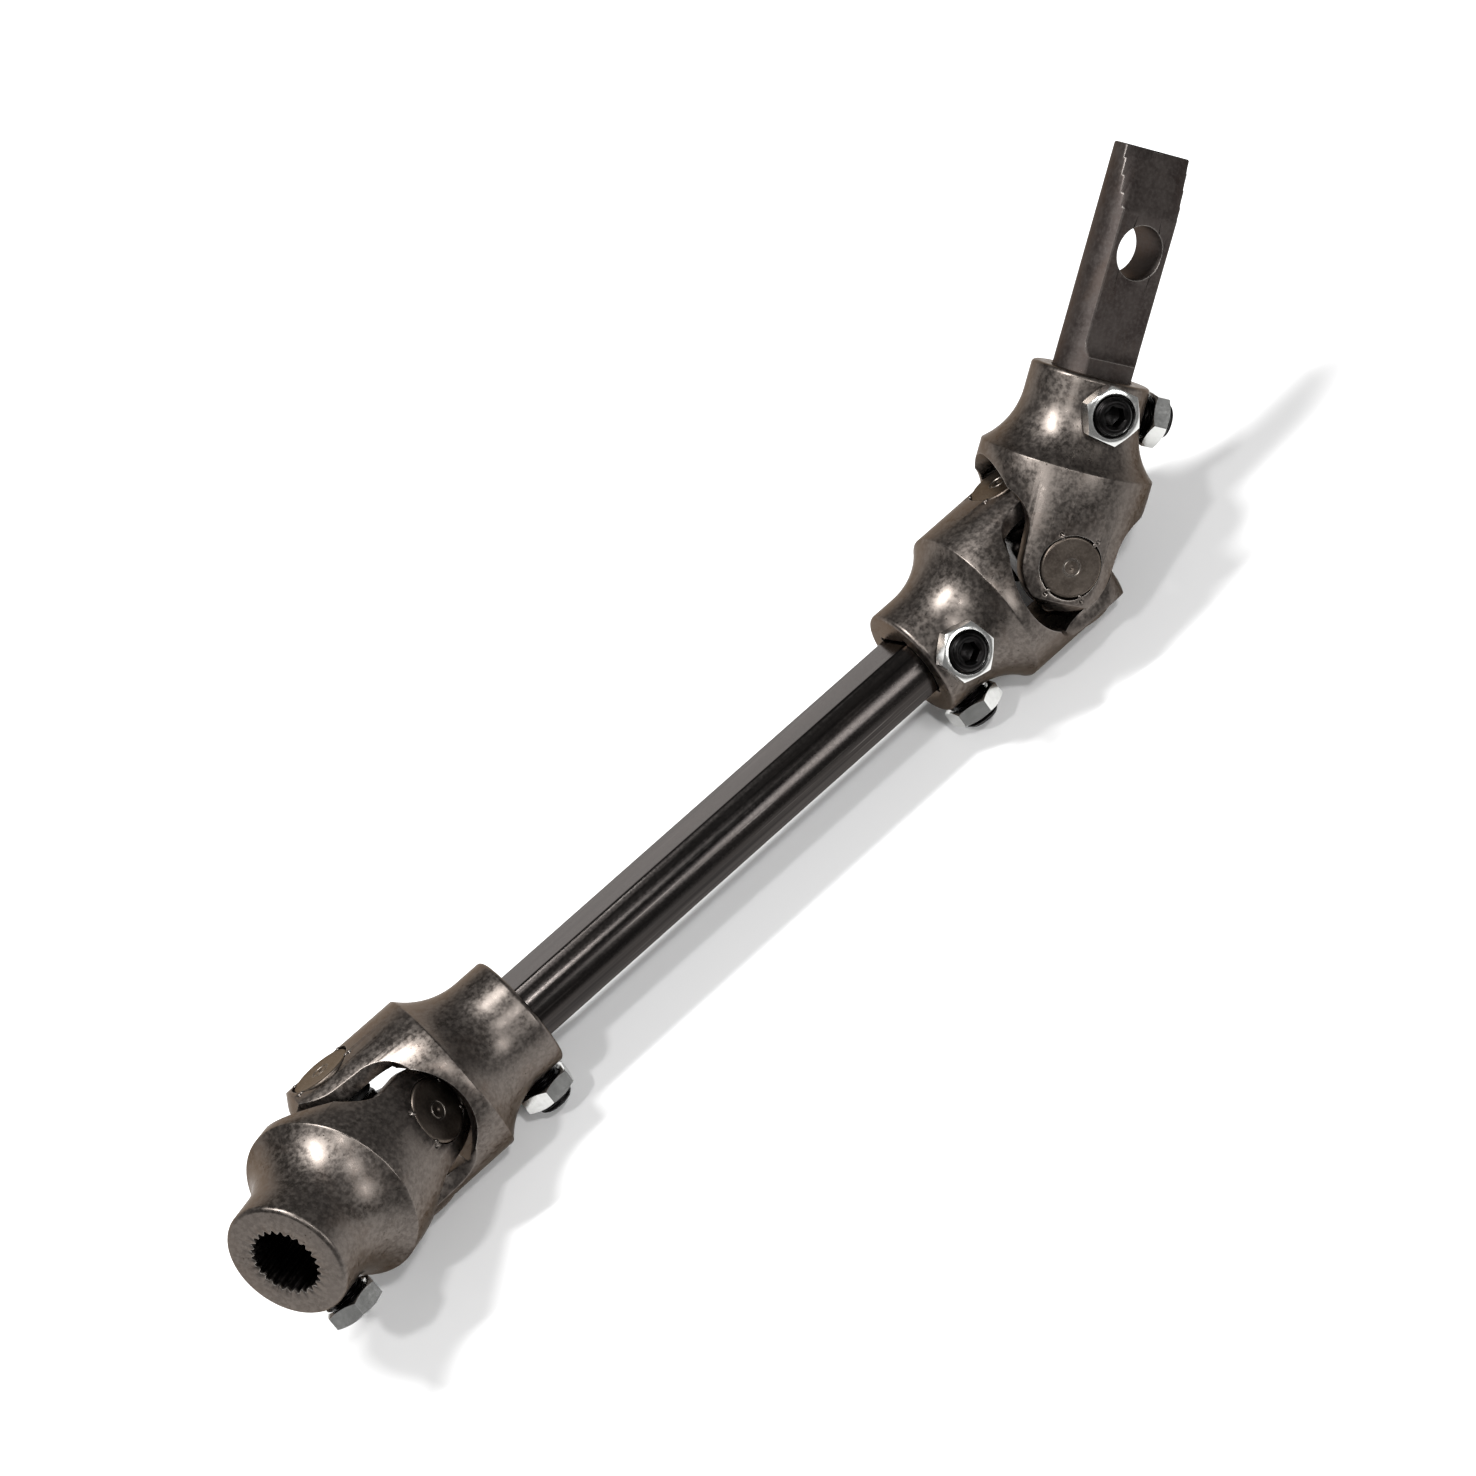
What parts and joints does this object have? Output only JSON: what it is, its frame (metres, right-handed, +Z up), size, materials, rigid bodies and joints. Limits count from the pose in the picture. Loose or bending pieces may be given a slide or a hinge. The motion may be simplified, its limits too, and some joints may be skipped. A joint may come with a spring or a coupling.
{
  "type": "universal joint shaft",
  "caption": "Steering intermediate shaft: a Double-D bar with a bent universal joint at each end, one ending in a splined hub and one in a flat drilled tang.",
  "frame": {"origin": "centre of the footprint, on the ground plane under the lowest point", "axes": "+X along the Double-D shaft, from the splined joint to the tang joint; +Z up, with both shaft yokes resting on their rims"},
  "size_m": [0.336, 0.0724, 0.0869],
  "materials": {
    "yoke_steel": "dark, oiled, machined",
    "shaft_steel": "black cold drawn",
    "tang_steel": "dull grey",
    "bearing_cup": "dark, smooth, bright rim",
    "needle_steel": "ground",
    "cross_steel": "hardened",
    "seal_rubber": "matt",
    "black_screw": "black oxide",
    "zinc_nut": "bright zinc plate"
  },
  "bodies": {
    "intermediate_shaft": {"shaft_lower_cup_a": "bearing_cup", "shaft_lower_cup_b": "bearing_cup", "shaft_lower_jam_nut_1": "zinc_nut", "shaft_lower_jam_nut_2": "zinc_nut", "shaft_lower_needles_a": "needle_steel", "shaft_lower_needles_b": "needle_steel", "shaft_lower_set_screw_1": "black_screw", "shaft_lower_set_screw_2": "black_screw", "shaft_lower_yoke": "yoke_steel", "shaft_upper_cup_a": "bearing_cup", "shaft_upper_cup_b": "bearing_cup", "shaft_upper_jam_nut_1": "zinc_nut", "shaft_upper_jam_nut_2": "zinc_nut", "shaft_upper_needles_a": "needle_steel", "shaft_upper_needles_b": "needle_steel", "shaft_upper_set_screw_1": "black_screw", "shaft_upper_set_screw_2": "black_screw", "shaft_upper_yoke": "yoke_steel", "double_d_shaft": "shaft_steel"},
    "lower_cross": {"lower_cross": "cross_steel", "lower_cross_seal_1": "seal_rubber", "lower_cross_seal_2": "seal_rubber", "lower_cross_seal_3": "seal_rubber", "lower_cross_seal_4": "seal_rubber"},
    "splined_yoke": {"splined_yoke": "yoke_steel", "splined_yoke_cup_a": "bearing_cup", "splined_yoke_cup_b": "bearing_cup", "splined_yoke_jam_nut_1": "zinc_nut", "splined_yoke_needles_a": "needle_steel", "splined_yoke_needles_b": "needle_steel", "splined_yoke_set_screw_1": "black_screw"},
    "upper_cross": {"upper_cross": "cross_steel", "upper_cross_seal_1": "seal_rubber", "upper_cross_seal_2": "seal_rubber", "upper_cross_seal_3": "seal_rubber", "upper_cross_seal_4": "seal_rubber"},
    "column_yoke": {"column_yoke": "yoke_steel", "column_yoke_cup_a": "bearing_cup", "column_yoke_cup_b": "bearing_cup", "column_yoke_jam_nut_1": "zinc_nut", "column_yoke_jam_nut_2": "zinc_nut", "column_yoke_needles_a": "needle_steel", "column_yoke_needles_b": "needle_steel", "column_yoke_set_screw_1": "black_screw", "column_yoke_set_screw_2": "black_screw", "flat_tang": "tang_steel"}
  },
  "joints": [
    {"name": "lower_shaft_pin", "type": "hinge", "parent": "intermediate_shaft", "child": "lower_cross", "pos_m": [-0.12524, -0.00097, 0.02141], "axis": [0, 0.7302, 0.6833], "range_deg": [-81.8, 2.2]},
    {"name": "lower_yoke_pin", "type": "hinge", "parent": "lower_cross", "child": "splined_yoke", "pos_m": [-0.12524, -0.00097, 0.02141], "axis": [0.6401, -0.5249, 0.561], "range_deg": [-17, 19]},
    {"name": "upper_shaft_pin", "type": "hinge", "parent": "intermediate_shaft", "child": "upper_cross", "pos_m": [0.08797, -0.00097, 0.02141], "axis": [0, 0.6347, 0.7727], "range_deg": [-6.8, 29.2]},
    {"name": "upper_yoke_pin", "type": "hinge", "parent": "upper_cross", "child": "column_yoke", "pos_m": [0.08797, -0.00097, 0.02141], "axis": [-0.1942, -0.758, 0.6226], "range_deg": [-82.4, 1.6]}
  ]
}
